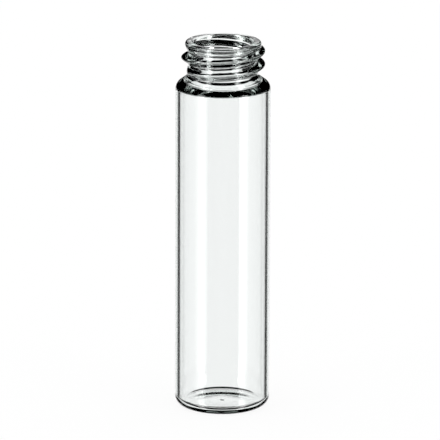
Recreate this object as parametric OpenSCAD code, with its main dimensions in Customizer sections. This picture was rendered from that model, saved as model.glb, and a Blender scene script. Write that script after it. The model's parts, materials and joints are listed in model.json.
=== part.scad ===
// Screw-neck sample vial, drawn from one piece of clear glass tube.
// Origin: middle of the ring that the vial stands on. +Z runs up through the mouth.
// All sizes are in millimetres and all angles in degrees.

/* [Body] */
// Outside diameter of the tube
body_d = 22.5; // [20:0.1:30]
// Height from the standing ring to the rim
height = 88.7; // [50:0.1:140]
// Thickness of the tube wall
wall = 1.1; // [0.8:0.05:1.6]

/* [Base] */
// Radius of the rounded heel, outside
heel_r = 2.3; // [1.2:0.1:3]
// Radius of the rounded heel, inside
inner_heel_r = 1.2; // [0.8:0.1:2.4]
// Width of the flat ring that the vial stands on
foot_w = 0.6; // [0.4:0.1:1.6]
// Rise of the pushed-up underside above the standing ring
punt_h = 0.15; // [0.05:0.05:0.6]
// Width of the slope from the standing ring up to the middle of the underside
punt_w = 5; // [1:0.1:6]
// Height of the floor's edge inside the vial above the standing ring
base_t = 1.3; // [1:0.05:2]
// Depth to which the floor is dished below its edge
dish_h = 0.2; // [0:0.05:0.4]
// Width of the slope from the floor's edge down to the middle of the dish
dish_w = 6.7; // [2:0.1:8]
// Diameter of the dimple that the flame leaves in the middle of the underside
pip_d = 1.2; // [0.8:0.1:2.4]
// Depth of that dimple
pip_h = 0.2; // [0.05:0.05:0.4]

/* [Shoulder] */
// Fall of the shoulder's slope below the horizontal, outside
shoulder_slope = 36; // [25:1:45]
// Fall of its slope below the horizontal, inside
inner_slope = 16.5; // [10:0.5:45]
// Radius of the shoulder's corner, outside
shoulder_r = 2.35; // [1.2:0.05:3]
// Radius of the shoulder's corner, inside
inner_shoulder_r = 0.35; // [0.2:0.05:3]
// Glass thickness through the slope, where it leaves the neck
shoulder_t = 2.15; // [1.2:0.05:2.4]
// Radius of the fillet between neck and shoulder
neck_fillet_r = 1; // [0.4:0.1:1.4]
// Radius of the turn from the bore into the shoulder, inside
throat_r = 1.95; // [0.6:0.05:3]

/* [Neck] */
// Height from the rim down to where the shoulder's slope would meet the neck
finish_h = 8.15; // [7.8:0.05:11]
// Outside diameter of the neck beside the thread
neck_d = 16.4; // [16:0.1:17]
// Diameter of the bore through the neck
bore_d = 13.8; // [12:0.1:14.4]
// Outside diameter of the lip
lip_d = 18; // [17.4:0.1:18.4]
// Height of the lip, down to where it has run into the neck
lip_h = 2.8; // [1.8:0.1:3.2]
// Radius of the lip's outside edge
lip_r = 0.7; // [0.4:0.05:0.9]
// Radius of the lip's inside edge
mouth_r = 0.6; // [0.3:0.05:0.8]

/* [Thread] */
// Outside diameter over the thread
thread_d = 19.8; // [18.8:0.1:20.4]
// Rise of the thread in one turn
thread_pitch = 3.175; // [2.8:0.025:3.6]
// Width of the thread at its root
thread_w = 3.6; // [2.6:0.1:3.8]
// Drop from the rim to the thread's upper crest, at the side that faces +X
thread_drop = 2.35; // [2.2:0.05:2.8]
// How far the thread runs on from that crest, round towards the back
thread_lead = 180; // [60:5:200]
// How far it runs down from that crest, round the front and on past one whole turn
thread_run = 570; // [400:5:600]
// Angle over which the upper end fades into the lip
lead_fade = 40; // [20:5:60]
// Angle over which the lower end fades into the neck
run_fade = 105; // [30:5:120]

/* [Hidden] */

body_r = body_d / 2;
inner_r = body_r - wall;
neck_r = neck_d / 2;
bore_r = bore_d / 2;
lip_outer_r = lip_d / 2;
thread_h = thread_d / 2 - neck_r;

// Steps in a quarter turn of a rounded edge, and in a smooth step from one height to another.
arc_steps = 10;
ease_steps = 10;
// Sides of the turned glass, degrees between the thread's sections, and steps across its ridge.
turn_sides = 96;
thread_step = 7.5;
ridge_steps = 8;

// How deep the thread's flanks and its root lie in the neck wall.
flank_sink = 0.1;
root_sink = 0.45;
// Gap in the neck wall between the root of one turn and the next.
root_gap = 0.08;

// Rises from 0 to 1 as t goes from 0 to 1, level at both ends.
function ease(t) = (1 - cos(180 * min(1, max(0, t)))) / 2;

// Points on an arc about [x, z], from angle a0 to angle a1.
function arc(x, z, r, a0, a1) =
    let (n = ceil(arc_steps * abs(a1 - a0) / 90))
    [for (i = [0:n]) let (a = a0 + (a1 - a0) * i / n) [x + r * cos(a), z + r * sin(a)]];

// Points from [x0, z0] to [x1, z1], level at both ends.
function level_ease(x0, z0, x1, z1) =
    [for (i = [0:ease_steps]) let (t = i / ease_steps) [x0 + (x1 - x0) * t, z0 + (z1 - z0) * ease(t)]];

// Points from [x0, z0] to [x1, z1], upright at both ends.
function upright_ease(x0, z0, x1, z1) = [for (p = level_ease(z0, x0, z1, x1)) [p[1], p[0]]];

// A rounded corner between an upright wall at x_wall and the shoulder, which falls by slope
// and passes through [neck_r, z]. side is 1 for a corner below it, -1 for a fillet above it.
function slope_corner(x_wall, z, r, side, slope, a0, a1) =
    let (x = x_wall - side * r)
    arc(x, z - (x - neck_r) * tan(slope) - side * r / cos(slope), r, a0, a1);

// Radii of the rings on the underside and of the floor's flat middle.
foot_outer_r = body_r - heel_r;
foot_inner_r = foot_outer_r - foot_w;
punt_r = foot_inner_r - punt_w;
pip_r = pip_d / 2;
floor_edge_r = inner_r - inner_heel_r;

// Heights at which the slope meets the neck's radius, outside and inside the glass.
slope_z = height - finish_h;
inner_slope_z = slope_z - shoulder_t / cos(shoulder_slope);

underside = concat(
    level_ease(0, punt_h + pip_h, pip_r, punt_h),
    level_ease(punt_r, punt_h, foot_inner_r, 0)
);
heel = arc(foot_outer_r, heel_r, heel_r, -90, 0);
shoulder = concat(
    slope_corner(body_r, slope_z, shoulder_r, 1, shoulder_slope, 0, 90 - shoulder_slope),
    slope_corner(neck_r, slope_z, neck_fillet_r, -1, shoulder_slope, 270 - shoulder_slope, 180)
);
lip = concat(
    upright_ease(neck_r, height - lip_h, lip_outer_r, height - lip_r),
    arc(lip_outer_r - lip_r, height - lip_r, lip_r, 0, 90),
    arc(bore_r + mouth_r, height - mouth_r, mouth_r, 90, 180)
);
inner_shoulder = concat(
    slope_corner(bore_r, inner_slope_z, throat_r, -1, inner_slope, 180, 270 - inner_slope),
    slope_corner(inner_r, inner_slope_z, inner_shoulder_r, 1, inner_slope, 90 - inner_slope, 0)
);
inner_floor = concat(
    arc(floor_edge_r, base_t + inner_heel_r, inner_heel_r, 0, -90),
    level_ease(floor_edge_r, base_t, floor_edge_r - dish_w, base_t - dish_h),
    [[0, base_t - dish_h]]
);

module glass_section() {
    polygon(concat(underside, heel, shoulder, lip, inner_shoulder, inner_floor));
}

// The thread is a rounded ridge, rolled into the neck, that fades in and out at its ends.
// Angle 0 faces +X, where the ridge's upper crest lies, and the ridge rises with the angle.
function ridge_height(a) =
    thread_h * ease((thread_lead - a) / lead_fade) * ease((thread_run + a) / run_fade);

function ridge_z(a) = height - thread_drop + thread_pitch * a / 360;

// How much of its upper half the ridge keeps, so that it stays below the rounded rim.
function upper_share(a) = min(1, (height - lip_r / 2 - ridge_z(a)) / root_half_w);

// One section: outwards offsets and heights, from its lower root over the crest to its upper.
root_half_w = min(thread_w, thread_pitch - root_gap) / 2;
ridge_section = [
    for (i = [0:ridge_steps])
        let (dz = root_half_w * (2 * i / ridge_steps - 1))
        [(1 + cos(360 * dz / thread_w)) / 2, dz]
];

function ridge_ring(a) = concat(
    [ring_point(a, -root_sink, -root_half_w)],
    [for (p = ridge_section) ring_point(a, p[0] * (ridge_height(a) + flank_sink) - flank_sink, p[1])],
    [ring_point(a, -root_sink, root_half_w)]
);
function ring_point(a, out, dz) =
    let (z = ridge_z(a) + dz * (dz > 0 ? upper_share(a) : 1))
    [(neck_r + out) * cos(a), (neck_r + out) * sin(a), z];

module thread() {
    rings = round((thread_lead + thread_run) / thread_step);
    sides = ridge_steps + 3;
    angles = [for (i = [0:rings]) -thread_run + (thread_lead + thread_run) * i / rings];
    points = [for (a = angles) each ridge_ring(a)];
    skin = [for (i = [0:rings - 1]) for (j = [0:sides - 1])
        let (here = i * sides, k = (j + 1) % sides)
        each [
            [here + j, here + k, here + sides + k],
            [here + j, here + sides + k, here + sides + j]
        ]
    ];
    first_end = [for (j = [sides - 1:-1:0]) j];
    last_end = [for (j = [0:sides - 1]) rings * sides + j];
    polyhedron(points, concat(skin, [first_end, last_end]), convexity = 6);
}

module vial() {
    color([0.9, 0.94, 0.94, 0.35])
    union() {
        rotate_extrude($fn = turn_sides) glass_section();
        thread();
    }
}

vial();
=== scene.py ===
import json
import math

import bpy
from mathutils import Matrix, Vector


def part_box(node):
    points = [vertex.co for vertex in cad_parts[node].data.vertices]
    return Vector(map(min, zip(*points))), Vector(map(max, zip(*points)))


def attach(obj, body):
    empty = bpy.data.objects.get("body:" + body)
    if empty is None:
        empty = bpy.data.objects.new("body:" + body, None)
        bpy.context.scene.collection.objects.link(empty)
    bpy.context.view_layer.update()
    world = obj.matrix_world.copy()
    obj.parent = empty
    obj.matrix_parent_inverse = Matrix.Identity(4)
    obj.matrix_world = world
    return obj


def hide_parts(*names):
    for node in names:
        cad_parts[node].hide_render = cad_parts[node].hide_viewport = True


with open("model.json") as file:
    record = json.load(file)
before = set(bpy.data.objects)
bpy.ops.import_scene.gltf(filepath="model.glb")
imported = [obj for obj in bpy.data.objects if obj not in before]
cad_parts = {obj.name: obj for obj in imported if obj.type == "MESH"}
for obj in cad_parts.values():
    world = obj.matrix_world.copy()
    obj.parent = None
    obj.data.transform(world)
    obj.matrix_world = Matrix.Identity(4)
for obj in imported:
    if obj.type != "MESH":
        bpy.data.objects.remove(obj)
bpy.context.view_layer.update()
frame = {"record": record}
mounts = {mount["name"]: mount["dims"] for mount in frame["record"]["mounts"]}

MM = 0.001

# The frame gives the vial's height, tube and bore. The other sizes are those of its solid.
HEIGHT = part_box("vial")[1].z
BODY_R = mounts["tube"]["r_mm"] * MM
BORE_R = mounts["mouth"]["r_mm"] * MM
WALL = 1.1 * MM
INNER_R = BODY_R - WALL

# The heel, the pushed-up underside with its dimple, and the dished floor.
HEEL_R = 2.3 * MM
INNER_HEEL_R = 1.2 * MM
FOOT_W = 0.6 * MM
PUNT_H = 0.15 * MM
PUNT_W = 5 * MM
BASE_T = 1.3 * MM
DISH_H = 0.2 * MM
DISH_W = 6.7 * MM
PIP_R = 0.6 * MM
PIP_H = 0.2 * MM

# The shoulder, outside and inside.
SLOPE = math.radians(36)
INNER_SLOPE = math.radians(16.5)
SHOULDER_R = 2.35 * MM
INNER_SHOULDER_R = 0.35 * MM
SHOULDER_T = 2.15 * MM
NECK_FILLET_R = 1 * MM
THROAT_R = 1.95 * MM

# The neck and the lip.
FINISH_H = 8.15 * MM
NECK_R = 8.2 * MM
LIP_OUTER_R = 9 * MM
LIP_H = 2.8 * MM
LIP_R = 0.7 * MM
MOUTH_R = 0.6 * MM

# The thread. Its run and its fades are in degrees, from the upper crest at the side facing +X.
THREAD_R = 9.9 * MM
THREAD_PITCH = 3.175 * MM
THREAD_W = 3.6 * MM
THREAD_DROP = 2.35 * MM
THREAD_LEAD = 180
THREAD_RUN = 570
LEAD_FADE = 40
RUN_FADE = 105

# Fineness of the turned glass.
TURN_STEPS = 240
ARC_STEPS = 20
EASE_STEPS = 16
NECK_STEP = 0.14 * MM
WALL_STEP = 6 * MM
BORE_STEP = 1 * MM
HOLD = 0.06 * MM
MERGE = 0.002 * MM
SLACK = 0.01 * MM

# The studio, in degrees round the vial from straight behind it, and above its level.
# Each of its edges is softened over some degrees to both sides.
# What shows through the glass: a white backdrop, a white table far below it, and black between.
BACKDROP_LOW = -30
BACKDROP_HIGH = 1.6
BACKDROP_SOFT = 0.5
TABLE_BELOW = -45
TABLE_SOFT = 1
BACKDROP_GLOW = 1.06
# What the glass reflects: a window and a strip behind it, and a softbox at each side.
WINDOW_HALF = 28
WINDOW_LOW = -47
WINDOW_HIGH = -6.6
WINDOW_SOFT = 1
STRIP_HALF = 14
STRIP_LOW = 11
STRIP_HIGH = 19
STRIP_SOFT = 2
STRIP_GLOW = 1.0
SOFTBOX_START = 118
SOFTBOX_END = 134
SOFTBOX_LOW = -60
SOFTBOX_HIGH = 24
SOFTBOX_SOFT = 4
SOFTBOX_GLOW = 5.0
# A narrow level in which the upright wall reflects: there the softboxes are dimmer, start
# gradually and stand a little to one side, and the room between them and the window glows.
LEVEL_LOW = -17.4
LEVEL_HIGH = -13.25
LEVEL_SOFT = 0.15
LEVEL_GLOW = 1.6
LEVEL_TURN = 1.75
LEVEL_RISE = (104, 124)
LEVEL_FALL = (133, 138)
ROOM_START = 45
ROOM_END = 112
ROOM_SOFT = 5
ROOM_GLOW = 0.35

# The floor: its paper, and how much of the vial's shadow shows on it.
PAPER = (0.97, 0.97, 0.97, 1)
WHITE = (1, 1, 1, 1)
SHADOW_SHARE = 0.08
FLOOR_SIZE = 20
FLOOR_DROP = 0.02 * MM

# The camera: its height in degrees, its distance, what it looks at, and a slight tilt.
CAMERA_RISE = 14.76
CAMERA_AWAY = 1.3062
CAMERA_ASIDE = -0.62 * MM
CAMERA_UP = 0.84 * MM
CAMERA_TILT = 0.19
SENSOR = 36
LENS = 451.3

# What drawing, rolling and use leave on the glass: lengthwise lines on the tube, ripple on the
# neck, and scuffs on the ring that it stands on.
DRAW_STRETCH = 0.02
DRAW_SCALE = 700.0
DRAW_DEPTH = 0.05
RIPPLE_SCALE = 450.0
RIPPLE_DEPTH = 3.0
RIPPLE_FADE = 1 * MM
RELIEF = 0.01 * MM
SCUFF_SCALE = 3000.0
SCUFF_FROM = 0.45
SCUFF_FULL = 0.7
SCUFF_RISE = 0.3 * MM
SCUFF_ROUGHNESS = 0.3
GLASS_CLEAR = (0.996, 0.999, 0.999, 1)
GLASS_IOR = 1.5
GLASS_TINT = (0.7, 0.9, 0.82, 1)
GLASS_DENSITY = 40.0


# ---- The section of the glass: points (r, z), from the middle of the underside, up the
# ---- outside, over the lip and down the inside to the middle of the floor.

def ease(t):
    """Rises from 0 to 1 as t goes from 0 to 1, level at both ends."""
    return (1 - math.cos(math.pi * min(1, max(0, t)))) / 2


def arc(r, z, radius, start, end):
    """Points on an arc about (r, z), from one angle in degrees to another."""
    steps = math.ceil(ARC_STEPS * abs(end - start) / 90)
    turns = [math.radians(start + (end - start) * i / steps) for i in range(steps + 1)]
    return [(r + radius * math.cos(a), z + radius * math.sin(a)) for a in turns]


def level_ease(r0, z0, r1, z1):
    """Points from (r0, z0) to (r1, z1), level at both ends."""
    parts = [i / EASE_STEPS for i in range(EASE_STEPS + 1)]
    return [(r0 + (r1 - r0) * t, z0 + (z1 - z0) * ease(t)) for t in parts]


def slope_corner(wall_r, z, radius, side, slope, start, end):
    """A rounded corner between an upright wall and a slope that crosses the neck's radius at z."""
    r = wall_r - side * radius
    drop = (r - NECK_R) * math.tan(slope) + side * radius / math.cos(slope)
    return arc(r, z - drop, radius, start, end)


def straight(start, end, step):
    """The points between two others, about a step apart."""
    count = max(1, round(math.dist(start, end) / step))
    parts = [i / count for i in range(1, count)]
    return [tuple(a + (b - a) * t for a, b in zip(start, end)) for t in parts]


def hold_bends(section):
    """Puts a ring close to both ends of each long straight, so that its bends stay crisp."""
    held = section[:1]
    for here, there in zip(section, section[1:]):
        length = math.dist(here, there)
        if length > 5 * HOLD:
            near = HOLD / length
            held += [tuple(a + (b - a) * t for a, b in zip(here, there)) for t in (near, 1 - near)]
        held.append(there)
    return held


def outside_section():
    down = math.degrees(SLOPE)
    foot_outer = BODY_R - HEEL_R
    foot_inner = foot_outer - FOOT_W
    slope_z = HEIGHT - FINISH_H
    underside = level_ease(0, PUNT_H + PIP_H, PIP_R, PUNT_H)
    underside += level_ease(foot_inner - PUNT_W, PUNT_H, foot_inner, 0)
    heel = arc(foot_outer, HEEL_R, HEEL_R, -90, 0)
    shoulder = slope_corner(BODY_R, slope_z, SHOULDER_R, 1, SLOPE, 0, 90 - down)
    fillet = slope_corner(NECK_R, slope_z, NECK_FILLET_R, -1, SLOPE, 270 - down, 180)
    lip_start = (NECK_R, HEIGHT - LIP_H)
    rises = round((LIP_H - LIP_R) / NECK_STEP)
    lip = [(NECK_R + (LIP_OUTER_R - NECK_R) * ease(i / rises),
            HEIGHT - LIP_H + (LIP_H - LIP_R) * i / rises) for i in range(rises)]
    lip += arc(LIP_OUTER_R - LIP_R, HEIGHT - LIP_R, LIP_R, 0, 90)
    wall = straight(heel[-1], shoulder[0], WALL_STEP)
    neck = straight(fillet[-1], lip_start, NECK_STEP)
    return hold_bends(underside + heel + wall + shoulder + fillet + neck + lip)


def inside_section():
    down = math.degrees(INNER_SLOPE)
    slope_z = HEIGHT - FINISH_H - SHOULDER_T / math.cos(SLOPE)
    floor_r = INNER_R - INNER_HEEL_R
    mouth = arc(BORE_R + MOUTH_R, HEIGHT - MOUTH_R, MOUTH_R, 90, 180)
    throat = slope_corner(BORE_R, slope_z, THROAT_R, -1, INNER_SLOPE, 180, 270 - down)
    shoulder = slope_corner(INNER_R, slope_z, INNER_SHOULDER_R, 1, INNER_SLOPE, 90 - down, 0)
    bore = straight(mouth[-1], throat[0], BORE_STEP)
    heel = arc(floor_r, BASE_T + INNER_HEEL_R, INNER_HEEL_R, 0, -90)
    wall = straight(shoulder[-1], heel[0], WALL_STEP)
    floor = level_ease(floor_r, BASE_T, floor_r - DISH_W, BASE_T - DISH_H)[1:]
    floor.append((0, BASE_T - DISH_H))
    return hold_bends(mouth + bore + throat + shoulder + wall + heel + floor)


# ---- Making the vial.

def deselect():
    bpy.ops.object.select_all(action="DESELECT")


def turn_glass(name, section):
    """Turns the section round the axis, as on a glass lathe."""
    deselect()
    bpy.ops.mesh.primitive_plane_add(size=MM, location=(0, 0, 0))
    piece = bpy.context.object
    piece.name = name
    bpy.ops.object.mode_set(mode="EDIT")
    bpy.ops.mesh.merge(type="CENTER")
    bpy.ops.transform.translate(value=(section[0][0], 0, section[0][1]))
    for here, there in zip(section, section[1:]):
        step = (there[0] - here[0], 0, there[1] - here[1])
        bpy.ops.mesh.extrude_region_move(TRANSFORM_OT_translate={"value": step})
    bpy.ops.mesh.select_all(action="SELECT")
    bpy.ops.mesh.spin(steps=TURN_STEPS, angle=2 * math.pi, center=(0, 0, 0), axis=(0, 0, 1))
    bpy.ops.mesh.select_all(action="SELECT")
    bpy.ops.mesh.remove_doubles(threshold=MERGE)
    bpy.ops.mesh.normals_make_consistent(inside=False)
    bpy.ops.object.mode_set(mode="OBJECT")
    bpy.ops.object.shade_smooth()
    return piece


def thread_rise(angle, z):
    """How far the thread stands out of the neck, at an angle in degrees from +X and a height."""
    rise = 0
    for turns in (-2, -1, 0):
        along = angle + 360 * turns
        crest = HEIGHT - THREAD_DROP + THREAD_PITCH * along / 360
        room = HEIGHT - LIP_R / 2 - crest
        half = THREAD_W / 2 if z < crest else min(THREAD_W / 2, room)
        off = abs(z - crest) / max(half, SLACK)
        if off < 1:
            upper_end = ease((THREAD_LEAD - along) / LEAD_FADE)
            lower_end = ease((THREAD_RUN + along) / RUN_FADE)
            ridge = (1 + math.cos(math.pi * off)) / 2
            rise = max(rise, (THREAD_R - NECK_R) * (upper_end * lower_end) * ridge)
    return rise


def roll_thread(piece):
    """Rolls the thread into the outside of the neck, run smoothly into the lip."""
    lowest = HEIGHT - FINISH_H - THREAD_W
    highest = HEIGHT - LIP_R / 2
    innermost = (NECK_R + BORE_R) / 2
    for vert in piece.data.vertices:
        x, y, z = vert.co
        r = math.hypot(x, y)
        if not (innermost <= r <= LIP_OUTER_R + SLACK and lowest < z < highest):
            continue
        rise = thread_rise(math.degrees(math.atan2(y, x)) % 360, z)
        lip = max(0, r - NECK_R)
        grown = max(r, NECK_R + (rise ** 3 + lip ** 3) ** (1 / 3))
        vert.co.x *= grown / r
        vert.co.y *= grown / r


# ---- Finishes.

class Wire:
    """A node's output, which arithmetic carries on through Math nodes."""

    def __init__(self, finish, socket):
        self.finish = finish
        self.socket = socket

    def maths(self, operation, *values):
        return self.finish.add("ShaderNodeMath", {"operation": operation}, dict(enumerate(values)))

    def __add__(self, other):
        return self.maths("ADD", self, other)

    def __sub__(self, other):
        return self.maths("SUBTRACT", self, other)

    def __mul__(self, other):
        return self.maths("MULTIPLY", self, other)

    def __rsub__(self, other):
        return self.maths("SUBTRACT", other, self)

    __radd__ = __add__
    __rmul__ = __mul__

    def most(self, other):
        return self.maths("MAXIMUM", self, other)

    def size(self):
        return self.maths("ABSOLUTE", self)

    def step(self, low, high):
        """Rises smoothly from 0 at low to 1 at high."""
        return self.finish.add("ShaderNodeMapRange", {"interpolation_type": "SMOOTHSTEP"},
                               {"Value": self, "From Min": low, "From Max": high})

    def band(self, low, high, soft):
        """1 between low and high and 0 outside them, with edges softened on both sides."""
        return self.step(low - soft, low + soft) * self.below(high, soft)

    def below(self, high, soft):
        """1 below high and 0 above it, softened on both sides."""
        return 1 - self.step(high - soft, high + soft)


class Finish:
    """The node tree of a material or of the world."""

    def __init__(self, owner):
        owner.use_nodes = True
        self.tree = owner.node_tree
        self.tree.nodes.clear()

    def add(self, kind, settings={}, inputs={}, output=0):
        """Adds a node and gives one of its outputs, or all of them by name if output is None."""
        node = self.tree.nodes.new(kind)
        for name, value in settings.items():
            setattr(node, name, value)
        for name, value in inputs.items():
            if isinstance(value, Wire):
                self.tree.links.new(value.socket, node.inputs[name])
            else:
                node.inputs[name].default_value = value
        if output is None:
            return {socket.name: Wire(self, socket) for socket in node.outputs}
        return Wire(self, node.outputs[output]) if len(node.outputs) else None


def clear_glass():
    """Clear glass, a little green through its thick parts, with the marks of its making."""
    material = bpy.data.materials.new("clear_glass")
    s = Finish(material)
    place = s.add("ShaderNodeTexCoord", output="Object")
    height = s.add("ShaderNodeSeparateXYZ", {}, {"Vector": place}, None)["Z"]
    lengthwise = s.add("ShaderNodeMapping", {}, {
        "Vector": place, "Scale": (1, 1, DRAW_STRETCH)})
    draw_lines = s.add("ShaderNodeTexNoise", {}, {
        "Vector": lengthwise, "Scale": DRAW_SCALE, "Detail": 2.0})
    tool_ripple = s.add("ShaderNodeTexNoise", {}, {
        "Vector": place, "Scale": RIPPLE_SCALE, "Detail": 1.0})
    shoulder = HEIGHT - FINISH_H
    rolled = height.step(shoulder - RIPPLE_FADE, shoulder + RIPPLE_FADE)
    relief = draw_lines * DRAW_DEPTH + tool_ripple * rolled * RIPPLE_DEPTH
    uneven = s.add("ShaderNodeBump", {}, {
        "Height": relief, "Distance": RELIEF, "Strength": 1.0})
    scuffs = s.add("ShaderNodeTexNoise", {}, {
        "Vector": place, "Scale": SCUFF_SCALE, "Detail": 4.0})
    standing = 1 - height.step(0, SCUFF_RISE)
    roughness = scuffs.step(SCUFF_FROM, SCUFF_FULL) * standing * SCUFF_ROUGHNESS
    glass = s.add("ShaderNodeBsdfPrincipled", {}, {
        "Base Color": GLASS_CLEAR, "Roughness": roughness, "IOR": GLASS_IOR,
        "Transmission Weight": 1.0, "Normal": uneven})
    depth = s.add("ShaderNodeVolumeAbsorption", {}, {
        "Color": GLASS_TINT, "Density": GLASS_DENSITY})
    s.add("ShaderNodeOutputMaterial", {}, {"Surface": glass, "Volume": depth})
    return material


def pale_floor():
    """White where it is seen, with the vial's shadow faint on it, and clear to the glass."""
    material = bpy.data.materials.new("pale_floor")
    s = Finish(material)
    path = s.add("ShaderNodeLightPath", output=None)
    paper = s.add("ShaderNodeBsdfDiffuse", {}, {"Color": PAPER})
    white = s.add("ShaderNodeEmission", {}, {"Color": WHITE, "Strength": 1.0})
    seen = s.add("ShaderNodeMixShader", {}, {
        0: path["Is Camera Ray"] * (1 - SHADOW_SHARE), 1: paper, 2: white})
    clear = s.add("ShaderNodeBsdfTransparent")
    bent = path["Is Glossy Ray"].most(path["Is Transmission Ray"])
    floor = s.add("ShaderNodeMixShader", {}, {0: bent, 1: seen, 2: clear})
    s.add("ShaderNodeOutputMaterial", {}, {"Surface": floor})
    return material


def studio_world():
    """Plain white to the camera and the floor. The glass has a studio of its own: one that
    shows straight through it, and another one in its reflections."""
    world = bpy.data.worlds.new("studio")
    s = Finish(world)
    path = s.add("ShaderNodeLightPath", output=None)
    towards = s.add("ShaderNodeTexCoord", output="Generated")
    towards = s.add("ShaderNodeSeparateXYZ", {}, {"Vector": towards}, None)
    around = towards["X"].maths("ARCTAN2", towards["X"], towards["Y"]) * math.degrees(1)
    turned = (around - LEVEL_TURN).size()
    around = around.size()
    above = towards["Z"].maths("ARCSINE", towards["Z"]) * math.degrees(1)
    unreflected = path["Glossy Depth"].maths("LESS_THAN", path["Glossy Depth"], 0.5)
    straight = unreflected * path["Is Transmission Ray"]
    backdrop = above.band(BACKDROP_LOW, BACKDROP_HIGH, BACKDROP_SOFT)
    backdrop = (backdrop + above.below(TABLE_BELOW, TABLE_SOFT)) * BACKDROP_GLOW
    window = above.band(WINDOW_LOW, WINDOW_HIGH, WINDOW_SOFT)
    window = window * around.below(WINDOW_HALF, WINDOW_SOFT)
    strip = above.band(STRIP_LOW, STRIP_HIGH, STRIP_SOFT)
    strip = strip * around.below(STRIP_HALF, WINDOW_SOFT) * STRIP_GLOW
    boxes = around.band(SOFTBOX_START, SOFTBOX_END, SOFTBOX_SOFT)
    boxes = boxes * above.band(SOFTBOX_LOW, SOFTBOX_HIGH, SOFTBOX_SOFT) * SOFTBOX_GLOW
    level = above.band(LEVEL_LOW, LEVEL_HIGH, LEVEL_SOFT)
    dimmer = turned.step(*LEVEL_RISE) * (1 - turned.step(*LEVEL_FALL)) * LEVEL_GLOW
    boxes = boxes + level * (dimmer - boxes)
    room = around.band(ROOM_START, ROOM_END, ROOM_SOFT) * level * ROOM_GLOW
    reflected = window + strip + boxes + room
    through = s.add("ShaderNodeBackground", {}, {
        "Color": WHITE, "Strength": backdrop * straight + (1 - straight) * reflected})
    white = s.add("ShaderNodeBackground", {}, {"Color": WHITE, "Strength": 1.0})
    plain = path["Is Camera Ray"].most(path["Is Diffuse Ray"])
    surroundings = s.add("ShaderNodeMixShader", {}, {0: plain, 1: through, 2: white})
    s.add("ShaderNodeOutputWorld", {}, {"Surface": surroundings})
    return world


# ---- The studio.

def lay_floor():
    deselect()
    bpy.ops.mesh.primitive_plane_add(size=FLOOR_SIZE, location=(0, 0, -FLOOR_DROP))
    floor = bpy.context.object
    floor.name = "floor"
    floor.data.materials.append(pale_floor())


def place_camera():
    """A long lens, a little above the rim, looking down on the vial's middle."""
    above = math.radians(CAMERA_RISE)
    middle = Vector((CAMERA_ASIDE, 0, HEIGHT / 2 + CAMERA_UP))
    camera = bpy.data.objects.new("camera", bpy.data.cameras.new("camera"))
    bpy.context.scene.collection.objects.link(camera)
    camera.data.sensor_width = SENSOR
    camera.data.lens = LENS
    camera.location = middle + CAMERA_AWAY * Vector((0, -math.cos(above), math.sin(above)))
    look = (middle - camera.location).to_track_quat("-Z", "Y").to_matrix().to_4x4()
    tilt = Matrix.Rotation(math.radians(CAMERA_TILT), 4, "Z")
    camera.rotation_mode = "QUATERNION"
    camera.rotation_quaternion = (look @ tilt).to_quaternion()
    bpy.context.scene.camera = camera


vial = turn_glass("vial_glass", outside_section() + inside_section())
roll_thread(vial)
vial.data.materials.clear()
vial.data.materials.append(clear_glass())
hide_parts("vial")
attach(vial, "root")

lay_floor()
place_camera()
bpy.context.scene.world = studio_world()
bpy.context.scene.view_settings.view_transform = "Standard"
